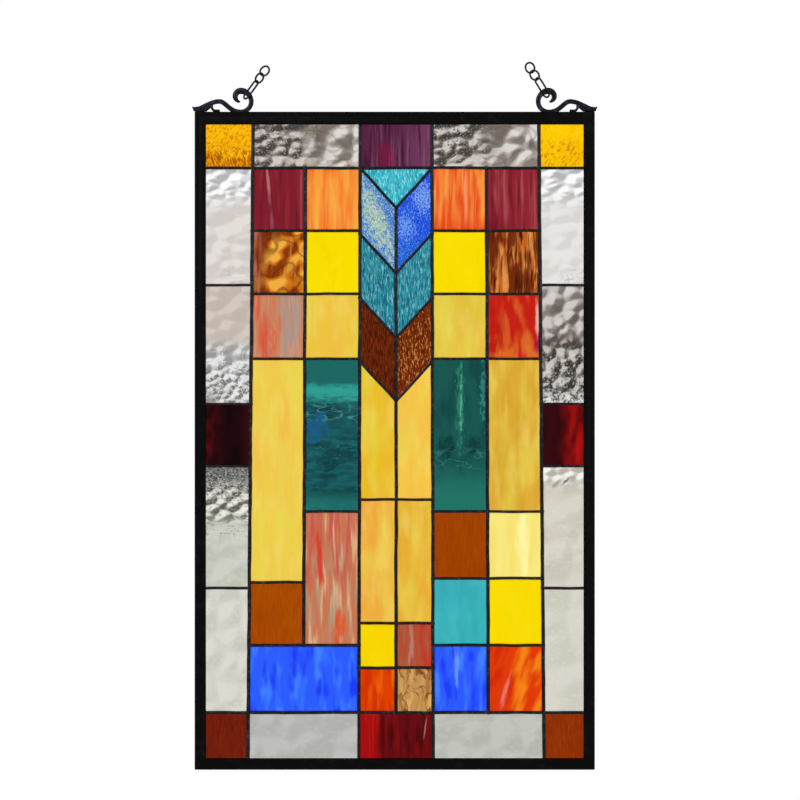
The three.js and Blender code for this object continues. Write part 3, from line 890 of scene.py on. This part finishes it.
PALETTE = {
    # the border, round from the top left corner
    "corner_top_left": ("granite", (252, 186, 4), [
        streaks((226, 138, 0), 30, 12, 0.34, 0.6, 0.9, v=(0.7, 0.2)),
        streaks((206, 112, 6), 1.3, 3.6, 0.53, 0.6, 0.8, turn=-38),
        streaks((255, 220, 64), 1.2, 2.6, 0.58, 0.66, 0.5, turn=-38, aside=40),
        streaks((158, 76, 4), 1.5, 5, 0.47, 0.56, 0.85, turn=20, v=(0.5, 0.22)),
    ]),
    # A clear pane: its grey sheet colour is painted shade, under a painted refraction mottle.
    "top_clear_left": ("baroque", (130, 120, 113), painted_refraction_mottle()),
    "top_plum": ("smooth", (86, 34, 64), [
        wash((116, 60, 96), 0.8, u=(0.45, 0.9)),
        streaks((132, 92, 122), 2.4, 60, 0.52, 0.72, 0.5),
        streaks((56, 16, 40), 4, 50, 0.48, 0.7, 0.75, aside=70),
        wisp((140, 16, 52), 0.36, 0.2, 10, 14, 0.42, 0, 0.5, (8, 18)),
    ]),
    # A clear pane: its grey sheet colour is painted shade, under a painted refraction mottle.
    "top_clear_right": ("baroque", (130, 120, 113), painted_refraction_mottle()),
    "corner_top_right": ("granite", (250, 198, 0), [
        streaks((240, 178, 0), 20, 20, 0.42, 0.62, 0.7),
        streaks((192, 112, 10), 1.3, 3.0, 0.54, 0.61, 0.85, turn=-38, v=(0.75, 0.35)),
        streaks((255, 222, 60), 1.2, 2.6, 0.58, 0.66, 0.4, turn=-38, aside=40),
    ]),
    "right_clear_upper": ("baroque", (228, 225, 222), hammered_head_painted_glints((206, 201, 197))),
    # A clear pane: its grey sheet colour and its dark and pale swells and blots are painted shade and
    # painted reflection, lighter at the top and at the foot.
    "right_clear_middle": ("baroque", (146, 134, 126), [
        streaks((120, 108, 99), 17, 24, 0.38, 0.56, 0.85),
        wash((204, 199, 195), 0.85, v=(0.8, 0.96)),
        streaks((196, 190, 185), 12, 12, 0.5, 0.64, 0.7, aside=30),
        billows((92, 83, 77), (220, 216, 212), 13, 13, 0.75, v=(0.36, 0.6)),
        streaks((44, 40, 38), 8, 15, 0.44, 0.56, 0.85, aside=60, v=(0.62, 0.46)),
        billows((50, 46, 43), (222, 218, 214), 10, 11, 0.7, v=(0.66, 0.44)),
        streaks((214, 211, 208), 2, 2.6, 0.55, 0.64, 0.7, aside=20, v=(0.55, 0.35)),
        streaks((236, 236, 234), 7, 5, 0.42, 0.56, 0.9, v=(0.14, 0.02)),
        streaks((44, 42, 42), 2.2, 2.6, 0.54, 0.63, 0.75, v=(0.4, 0.1)),
    ]),
    "right_red_band": ("smooth", (152, 14, 14), [
        streaks((176, 20, 18), 7, 34, 0.44, 0.7, 0.6, aside=60),
        wash((54, 8, 13), 1.0, u=(0.72, 0.3)),
        streaks((40, 6, 10), 8, 26, 0.4, 0.66, 0.7),
    ]),
    # A clear pane: the white swells across its top are painted glints, over faint painted swell light.
    "right_clear_lower_upper": ("baroque", (209, 205, 192), [
        *faint_painted_swell_light((190, 185, 171), (226, 223, 212), 26, 24, 0.4),
        billows((172, 168, 160), (253, 253, 250), 12, 9, 0.8, v=(0.8, 0.93)),
        wisp((74, 70, 66), 0.5, 0.88, 1.5, 5.5, 0.85, -48, 0.5, (2, 4)),
        wisp((150, 146, 138), 0.27, 0.85, 2, 5, 0.7, -52, 0.5, (2, 4)),
    ]),
    "right_clear_lower_lower": (
        "baroque", (211, 208, 196), faint_painted_swell_light((196, 192, 179), (226, 224, 214), 30, 30, 0.35)
    ),
    "corner_bottom_right": ("grain", (146, 50, 4), fine_grain((126, 38, 4), (166, 68, 12))),
    "bottom_clear_right": (
        "baroque", (187, 188, 180), faint_painted_swell_light((174, 175, 167), (205, 206, 199), 26, 22, 0.4)
    ),
    "bottom_ruby": ("smooth", (98, 11, 16), [
        streaks((128, 12, 15), 5, 50, 0.44, 0.66, 0.75),
        streaks((62, 6, 12), 5, 44, 0.48, 0.68, 0.8, aside=60),
        wash((172, 12, 13), 0.85, u=(0.34, 0.16)),
        streaks((206, 30, 22), 1.6, 40, 0.52, 0.68, 0.6, aside=90, u=(0.36, 0.2)),
        wisp((200, 150, 150), 0.9, 0.72, 0.8, 11, 0.5, -8, 0.4, (2, 10)),
    ]),
    "bottom_clear_left": (
        "baroque", (182, 183, 179), faint_painted_swell_light((168, 169, 165), (201, 202, 199), 26, 22, 0.4)
    ),
    "corner_bottom_left": ("grain", (114, 30, 11), fine_grain((92, 20, 8), (138, 42, 18))),
    # A clear pane: the dark band near its top and the dark and pale swells and blots are painted shade and
    # painted reflection.
    "left_clear_lower_upper": ("baroque", (199, 201, 189), [
        *faint_painted_swell_light((184, 184, 172), (216, 217, 206), 22, 18, 0.45),
        billows((92, 89, 82), (238, 236, 228), 11, 8, 1.0, v=(0.5, 0.62)),
        streaks((140, 137, 129), 3, 2.4, 0.5, 0.62, 0.7, v=(0.46, 0.6)),
        wash((106, 106, 103), 0.95, v=(0.78, 0.93)),
        streaks((58, 58, 57), 2, 1.6, 0.48, 0.6, 0.85, v=(0.68, 0.88)),
        streaks((200, 199, 192), 1.8, 1.4, 0.55, 0.64, 0.75, aside=30, v=(0.64, 0.82)),
        veins((104, 100, 92), 10, 4.5, 0.02, 0.7, v=(0.36, 0.46, 0.66, 0.56)),
    ]),
    "left_clear_lower_lower": (
        "baroque", (211, 210, 199), faint_painted_swell_light((194, 192, 181), (229, 228, 220), 24, 24, 0.45)
    ),
    "left_red_band": ("smooth", (66, 9, 16), [
        streaks((94, 12, 20), 6, 30, 0.46, 0.68, 0.6),
        wash((22, 7, 9), 0.95, u=(0.1, 0.55)),
        streaks((16, 5, 8), 9, 20, 0.42, 0.66, 0.75, aside=50),
        wash((60, 9, 13), 0.7, u=(0.75, 0.98)),
    ]),
    # A clear pane: the grey swells and blots and the white lines are painted shade and painted reflection,
    # darker in the lower half.
    "left_clear_middle": ("baroque", (200, 187, 178), [
        billows((190, 178, 168), (224, 215, 208), 16, 12, 0.5, v=(0.45, 0.6)),
        wash((172, 174, 173), 0.85, v=(0.58, 0.42)),
        billows((144, 143, 142), (236, 239, 239), 12, 11, 0.75, v=(0.58, 0.42)),
        streaks((132, 128, 125), 4, 4, 0.45, 0.58, 0.8, v=(0.34, 0.14)),
        billows((96, 93, 91), (240, 240, 240), 7, 6, 0.7, v=(0.4, 0.22)),
        streaks((236, 236, 236), 2, 1.6, 0.56, 0.66, 0.6, aside=30, v=(0.42, 0.2)),
        veins((240, 243, 243), 9, 8, 0.03, 0.7, v=(0.52, 0.4)),
        wash((150, 144, 138), 0.7, v=(0.12, 0.03), u=(0.4, 0.25)),
    ]),
    "left_clear_upper": ("baroque", (219, 212, 207), hammered_head_painted_glints((201, 192, 186))),
    # the two columns left of the arrow
    "maroon_left": ("smooth", (126, 29, 43), [
        streaks((150, 44, 54), 4, 60, 0.46, 0.7, 0.65),
        streaks((98, 18, 40), 5, 56, 0.48, 0.7, 0.75, aside=90),
        wisp((190, 122, 122), 0.3, 0.72, 1.6, 20, 0.75, 5, 0.5, (1.2, 20)),
        wisp((168, 84, 92), 0.93, 0.5, 1.0, 44, 0.6, 0, 0.5, (1.2, 24)),
        wisp((168, 92, 100), 0.36, 0.16, 1.6, 12, 0.5, 0, 0.5, (1.4, 14)),
    ]),
    "orange_left": ("smooth", (243, 116, 40), [
        streaks((252, 174, 68), 10, 70, 0.38, 0.68, 0.85),
        streaks((240, 108, 38), 7, 50, 0.44, 0.72, 0.65, aside=50),
        streaks((255, 190, 92), 2.2, 50, 0.54, 0.76, 0.4, aside=90),
        wash((248, 168, 72), 0.6, u=(0.78, 0.98)),
        GREY_RIM_PAINTED_SHADE,
    ]),
    "agate_left": ("smooth", (204, 116, 22), [
        billows((132, 48, 10), (244, 176, 66), 19, 21, 0.95, 0.7, lean=0.3, detail=0.5),
        streaks((150, 62, 14), 13, 18, 0.5, 0.76, 0.8, aside=50, detail=1.0),
        streaks((240, 178, 70), 3, 26, 0.52, 0.72, 0.35, aside=30),
        veins((104, 38, 8), 17, 21, 0.05, 0.6, warp=0.3, aside=90, detail=0.5),
        wash((112, 42, 14), 0.85, v=(0.84, 0.98), u=(0.7, 0.4)),
        wash((122, 44, 14), 0.75, u=(0.36, 0.16)),
        streaks((180, 106, 84), 4, 40, 0.36, 0.56, 0.9, u=(0.22, 0.08)),
    ]),
    "yellow_left": ("smooth", (250, 222, 0), yellow()),
    "salmon_left": ("smooth", (198, 132, 98), [
        streaks((216, 88, 60), 5, 46, 0.42, 0.64, 0.9, u=(0.75, 0.3)),
        streaks((168, 152, 144), 5, 64, 0.4, 0.6, 0.85, aside=30, u=(0.25, 0.6)),
        streaks((228, 152, 106), 2.4, 40, 0.5, 0.68, 0.65, aside=80),
        wisp((216, 74, 54), 0.24, 0.34, 8, 22, 0.6, 0, 0.9, (5, 24)),
        GREY_RIM_PAINTED_SHADE,
    ]),
    "straw_left": ("smooth", (236, 198, 60), straw(0.5)),
    "straw_tall_left": ("smooth", (238, 206, 74), straw(0.6)),
    "teal_tall_left": ("smooth", (26, 82, 86), [
        streaks((16, 60, 66), 26, 12, 0.4, 0.62, 0.85, v=(0.6, 0.45)),
        wash((30, 102, 97), 1.0, v=(0.76, 0.82)),
        wash((34, 118, 106), 0.9, v=(0.16, 0.02)),
        wisp((50, 160, 148), 0.5, 0.78, 70, 9, 0.95, 0, 0.3, (10, 3)),
        streaks((26, 100, 104), 12, 3.5, 0.46, 0.62, 0.7, v=(0.79, 0.74)),
        wisp((14, 58, 62), 0.4, 0.66, 15, 6, 0.85, 4, 0.9, (7, 3)),
        veins((92, 176, 168), 13, 7, 0.045, 0.4, v=(0.56, 0.62, 0.74, 0.68)),
        wisp((30, 92, 146), 0.12, 0.55, 12, 12, 0.65, 0, 1.1, (9, 6)),
        streaks((54, 138, 130), 2.6, 2, 0.58, 0.7, 0.4, v=(0.5, 0.42, 0.24, 0.34)),
    ]),
    "russet_left": ("grain", (168, 74, 0), fine_grain((148, 58, 0), (186, 92, 10))),
    "salmon_tall_left": ("smooth", (200, 118, 82), [
        streaks((198, 82, 78), 7, 66, 0.42, 0.62, 0.85, v=(0.3, 0.65)),
        streaks((166, 150, 124), 7, 50, 0.47, 0.66, 0.85, aside=40, v=(0.85, 0.55)),
        streaks((230, 192, 148), 5, 56, 0.5, 0.7, 0.75, aside=90),
        wisp((214, 54, 30), 0.27, 0.62, 3.4, 30, 0.85, 3, 0.9, (3, 26)),
        wisp((220, 78, 34), 0.66, 0.12, 6, 18, 0.8, 0, 1.0, (4, 18)),
        GREY_RIM_PAINTED_SHADE,
    ]),
    "cobalt_wide_left": ("smooth", (44, 92, 254), cobalt()),
    # the arrow of chevrons, and the panes under it
    "arrow_top": ("ripple", (58, 188, 204), rippled((34, 146, 172), (160, 230, 236), 0.85, 6)),
    "arrow_sky_left": ("granite", (66, 132, 206), [
        wisp((176, 204, 178), 0.42, 0.52, 10, 36, 0.95, 24, 1.0, (3, 6)),
        wisp((52, 112, 206), 0.9, 0.55, 5, 20, 0.85, 24, 1.0, (3, 6)),
        streaks((226, 234, 222), 1.2, 1.9, 0.53, 0.62, 0.65, aside=40),
        streaks((40, 104, 176), 1.2, 2.2, 0.54, 0.63, 0.7, aside=90),
        streaks((130, 160, 110), 1.2, 1.6, 0.57, 0.64, 0.6, aside=140),
    ]),
    "arrow_cobalt_right": ("granite", (32, 82, 222), [
        wash((36, 106, 206), 0.85, v=(0.42, 0.15)),
        wisp((138, 182, 244), 0.78, 0.74, 9, 13, 0.8, 0, 1.6, (1.6, 2)),
        wisp((122, 172, 240), 0.24, 0.44, 8, 12, 0.75, 0, 1.6, (1.6, 2)),
        streaks((12, 50, 180), 1.3, 1.8, 0.54, 0.62, 0.8),
        streaks((120, 170, 250), 1.2, 1.5, 0.57, 0.65, 0.7, aside=60),
    ]),
    "arrow_turquoise_left": ("ripple", (46, 140, 160), rippled((16, 86, 106), (140, 212, 216), 0.65, 8)),
    "arrow_turquoise_right": ("ripple", (50, 146, 164), rippled((18, 92, 112), (140, 212, 216), 0.65, 8)),
    "arrow_brown_left": ("ripple", (102, 36, 8), rippled((58, 18, 4), (150, 66, 22), 0.5, 9)),
    "arrow_brown_right": ("ripple", (120, 44, 8), rippled((76, 24, 5), (214, 142, 70), 0.75, 5)),
    "straw_upper_left": ("smooth", (232, 188, 28), straw(0.25)),
    "straw_upper_right": ("smooth", (246, 196, 70), straw(0.45)),
    "straw_lower_left": ("smooth", (238, 170, 60), straw(0.4)),
    "straw_lower_right": ("smooth", (226, 172, 42), straw(0.35)),
    "yellow_small": ("smooth", (249, 212, 0), yellow()),
    "salmon_small": ("smooth", (180, 78, 50), [
        streaks((150, 108, 76), 3.4, 22, 0.46, 0.68, 0.7),
        wisp((196, 140, 132), 0.4, 0.62, 2.6, 20, 0.6, 0, 0.8, (3, 14)),
        streaks((196, 48, 42), 4, 24, 0.4, 0.6, 0.85, aside=40, u=(0.5, 0.75)),
        GREY_RIM_PAINTED_SHADE,
    ]),
    "flame_small": ("smooth", (222, 64, 0), [
        streaks((246, 106, 14), 5, 34, 0.42, 0.66, 0.85, u=(0.1, 0.5)),
        streaks((202, 40, 0), 4, 30, 0.46, 0.66, 0.75, aside=40),
        GREY_RIM_PAINTED_SHADE,
    ]),
    "veined_small": ("smooth", (194, 146, 82), [
        streaks((222, 184, 118), 5, 20, 0.46, 0.68, 0.75),
        streaks((158, 90, 44), 5, 13, 0.54, 0.64, 0.75, aside=30),
        veins((122, 58, 22), 11, 22, 0.035, 0.85, warp=0.9, aside=60),
        wisp((132, 64, 28), 0.62, 0.93, 5, 4, 0.8, 0, 0.6, (4, 5)),
    ]),
    # the two columns right of the arrow
    "orange_right": ("smooth", (236, 88, 34), [
        streaks((250, 158, 70), 7, 70, 0.4, 0.68, 0.85),
        streaks((222, 58, 22), 6, 50, 0.42, 0.7, 0.8, aside=40),
        streaks((250, 176, 90), 1.8, 50, 0.54, 0.74, 0.45, aside=90),
        wisp((251, 160, 70), 0.95, 0.6, 4.5, 36, 0.75, 0, 0.6, (4, 20)),
        wisp((250, 152, 110), 0.62, 0.5, 1.6, 30, 0.7, 0, 0.6, (2, 24)),
        wash((226, 66, 22), 0.5, v=(0.3, 0.0)),
        GREY_RIM_PAINTED_SHADE,
    ]),
    "maroon_right": ("smooth", (144, 37, 48), [
        streaks((172, 84, 88), 3.6, 64, 0.46, 0.68, 0.75),
        streaks((112, 22, 36), 5, 56, 0.46, 0.68, 0.85, aside=50),
        wash((112, 18, 34), 0.6, v=(0.3, 0.02), u=(0.7, 0.3)),
    ]),
    "yellow_right": ("smooth", (250, 222, 0), yellow()),
    "agate_right": ("smooth", (196, 102, 38), [
        streaks((230, 152, 78), 4.4, 30, 0.46, 0.66, 0.85, warp=0.5),
        streaks((98, 30, 6), 6.5, 36, 0.42, 0.58, 0.92, warp=0.5, aside=40),
        streaks((66, 18, 5), 2.4, 26, 0.53, 0.62, 0.85, warp=0.3, aside=90),
    ]),
    "straw_right": ("smooth", (222, 194, 56), straw(0.35)),
    "flame_right": ("smooth", (196, 32, 18), [
        streaks((222, 104, 44), 8, 32, 0.42, 0.66, 0.85, u=(0.1, 0.5)),
        streaks((226, 120, 40), 9, 22, 0.44, 0.66, 0.75, aside=40, v=(0.5, 0.15)),
        streaks((176, 18, 10), 6, 30, 0.48, 0.68, 0.7, aside=80, u=(0.6, 0.2)),
        wisp((172, 18, 66), 0.97, 0.2, 4, 12, 0.85, 0, 0.6, (5, 8)),
        wisp((244, 190, 184), 0.95, 0.62, 2, 17, 0.8, 0, 0.6, (2, 16)),
        GREY_RIM_PAINTED_SHADE,
    ]),
    "teal_tall_right": ("smooth", (26, 86, 80), [
        streaks((16, 66, 66), 12, 40, 0.44, 0.66, 0.7),
        wash((34, 116, 102), 0.95, v=(0.34, 0.1)),
        wisp((44, 128, 110), 0.5, 0.72, 3.4, 40, 0.8, 0, 1.2, (2, 9)),
        wisp((96, 186, 160), 0.52, 0.7, 1.0, 26, 0.6, 0, 1.4, (1.6, 5)),
        wisp((58, 148, 136), 0.93, 0.78, 2.4, 24, 0.6, 0, 1.4, (2, 5)),
        wisp((12, 52, 54), 0.26, 0.42, 8, 10, 0.75, 0, 0.8, (6, 6)),
        wisp((12, 52, 54), 0.76, 0.42, 8, 10, 0.75, 0, 0.8, (6, 6)),
        veins((66, 146, 132), 14, 9, 0.045, 0.4, v=(0.44, 0.38, 0.24, 0.32)),
    ]),
    "straw_tall_right": ("smooth", (214, 166, 46), straw(0.4)),
    "russet_right": ("grain", (160, 66, 0), fine_grain((144, 54, 0), (176, 80, 8))),
    "cream_right": ("smooth", (249, 233, 128), [
        streaks((248, 222, 104), 9, 50, 0.44, 0.68, 0.7),
        wisp((255, 250, 172), 0.66, 0.5, 5, 40, 0.8, 0, 0.8, (5, 30)),
        # A painted shade along the rim.
        rim((190, 160, 80), 0.45),
    ]),
    "turquoise_right": ("smooth", (58, 178, 186), [
        streaks((50, 162, 174), 10, 40, 0.48, 0.7, 0.5),
        streaks((82, 194, 198), 12, 30, 0.5, 0.7, 0.4, aside=60),
        GREY_RIM_PAINTED_SHADE,
    ]),
    "yellow_lower_right": ("smooth", (250, 219, 0), yellow()),
    "cobalt_right": ("smooth", (44, 90, 254), [
        *cobalt(),
        wisp((116, 168, 255), 0.42, 0.72, 3, 22, 0.65, 0, 0.8, (3, 14)),
    ]),
    "flame_lower_right": ("smooth", (224, 58, 8), [
        streaks((250, 138, 22), 11, 34, 0.4, 0.62, 0.92, turn=-24, u=(0.3, 0.6)),
        streaks((206, 36, 8), 6, 30, 0.46, 0.64, 0.8, aside=50, turn=-20, u=(0.7, 0.3)),
        wisp((238, 128, 108), 0.3, 0.3, 2.2, 17, 0.8, -16, 0.5, (2, 14)),
        GREY_RIM_PAINTED_SHADE,
    ]),
}
print(len(PALETTE), "panes,", sum(len(steps) for _, _, steps in PALETTE.values()), "patterns")

# %% [markdown]
# ## Cutting the panes
# A pane starts as a copy of its solid. Its edges are ground a little round, its faces are cut into a fine
# grid, and the roller's relief is pressed into the grid. A loop is kept just inside the outline, so that
# the rim of a pane can be told from its middle: the rim is given a painted shade, where the solder beside
# it would darken the glass. Six solids stand for two panes each, and they are parted along the seam that
# runs over them.

# %% Cutting the panes
HALF_SEAM = 0.8
RIM = 2.2
GROUND_EDGE = 0.3
WAVE = 8  # how far apart the swells of the relief are
SIDEWAYS, UPWARDS = (1, 0, 0), (0, 0, 1)
PARTED = {}  # for each solid its two panes, the way from the second to the first, and the seam's depth
for name in ("arrow_turquoise", "arrow_brown", "straw_upper", "straw_lower"):
    PARTED[name + "_pair"] = (name + "_right", name + "_left"), SIDEWAYS, 0
for name in ("right_clear_lower", "left_clear_lower"):
    PARTED[name + "_pair"] = (name + "_upper", name + "_lower"), UPWARDS, SIDE_LOWER


def blank(node):
    """A copy of a pane's solid, with its two faces whole again."""
    solid = frame["nodes"][node]
    bm = bmesh.new()
    bm.from_mesh(solid.data)
    bmesh.ops.transform(bm, matrix=solid.matrix_world, verts=bm.verts)
    bmesh.ops.remove_doubles(bm, verts=bm.verts, dist=1e-6)
    bmesh.ops.dissolve_limit(bm, angle_limit=math.radians(1), verts=bm.verts, edges=bm.edges)
    return bm


def slice_at(bm, place, normal, keep_below=False):
    geometry = bm.verts[:] + bm.edges[:] + bm.faces[:]
    bmesh.ops.bisect_plane(bm, geom=geometry, plane_co=place, plane_no=normal, clear_outer=keep_below)


def grind_and_roll(bm, seed, grid, relief):
    """Round edges, a rim, a grid and the relief, in mm."""
    ground = {"offset": GROUND_EDGE * MM, "segments": 2, "profile": 0.5, "affect": "EDGES", "material": -1}
    bmesh.ops.bevel(bm, geom=bm.edges[:], **ground)
    rim = bm.verts.layers.float.new("rim")
    for vert in bm.verts:
        vert[rim] = 1.0
    for face in sorted(bm.faces, key=lambda face: face.calc_area())[-2:]:
        bmesh.ops.inset_region(bm, faces=[face], thickness=RIM * MM)
        for vert in face.verts:
            vert[rim] = 0.0
    low = Vector(min(vert.co[axis] for vert in bm.verts) for axis in range(3))
    high = Vector(max(vert.co[axis] for vert in bm.verts) for axis in range(3))
    for axis, normal in ((0, (1, 0, 0)), (2, (0, 0, 1))):
        cuts = round((high[axis] - low[axis]) / MM / grid)
        for i in range(1, cuts):
            slice_at(bm, low.lerp(high, i / cuts), normal)
    for vert in bm.verts:
        lift = noise.noise(Vector((vert.co.x / MM / WAVE, vert.co.z / MM / WAVE, seed))) - 0.5
        vert.co.y -= math.copysign(relief * MM, vert.co.y) * (1 - vert[rim]) * max(0.0, -lift)
    bmesh.ops.recalc_face_normals(bm, faces=bm.faces)
    return low, high


SLOT_OF = {part["node"]: part["material_slot"] for part in frame["record"]["subparts"]}
CLEAR = {"Transmission_Weight": 1.0, "Roughness": 0.06, "IOR": 1.2, "Specular_IOR_Level": 0.4}
OPAL = {"Transmission_Weight": 1.0, "Roughness": 0.3, "IOR": 1.1, "Specular_IOR_Level": 0.1}
CLEAR_FACE, OPAL_FACE = (3.0, 0.35), (6.0, 0.12)  # the grid of a face and the depth of its relief, in mm
# The painted shade along the rim of every clear pane.
CLEAR_RIM_PAINTED_SHADE = (120, 116, 108), 0.3
SEED_STEP = 7.3


def finish_pane(bm, name, node):
    seed = list(PALETTE).index(name) + 1
    surface, colour, steps = PALETTE[name]
    clear = surface == "baroque"
    box = grind_and_roll(bm, seed, *(CLEAR_FACE if clear else OPAL_FACE))
    glass = Glass("glass_" + name, box, seed * SEED_STEP, colour, **(CLEAR if clear else OPAL))
    for step, values, options in steps:
        getattr(glass, step)(*values, **options)
    if clear:
        glass.rim(*CLEAR_RIM_PAINTED_SHADE)
    material = glass.show(Base_Color=glass.colour, Normal=rolled(glass, surface))
    return add_piece(bm, name + "_glass", SLOT_OF[node], material, node)


for node in SLOT_OF:
    if node in PALETTE:
        finish_pane(blank(node), node, node)
    elif node in PARTED:
        names, normal, down = PARTED[node]
        seam = spot(across_at("middle", 0), down)
        for name, side in zip(names, (-1, 1)):
            half = blank(node)
            outwards = Vector(normal) * side
            slice_at(half, seam - outwards * HALF_SEAM * MM, outwards, keep_below=True)
            bmesh.ops.holes_fill(half, edges=[edge for edge in half.edges if edge.is_boundary])
            finish_pane(half, name, node)
print("panes cut:", sum(piece.name.endswith("_glass") for piece in pieces))

# %% [markdown]
# ## Finish
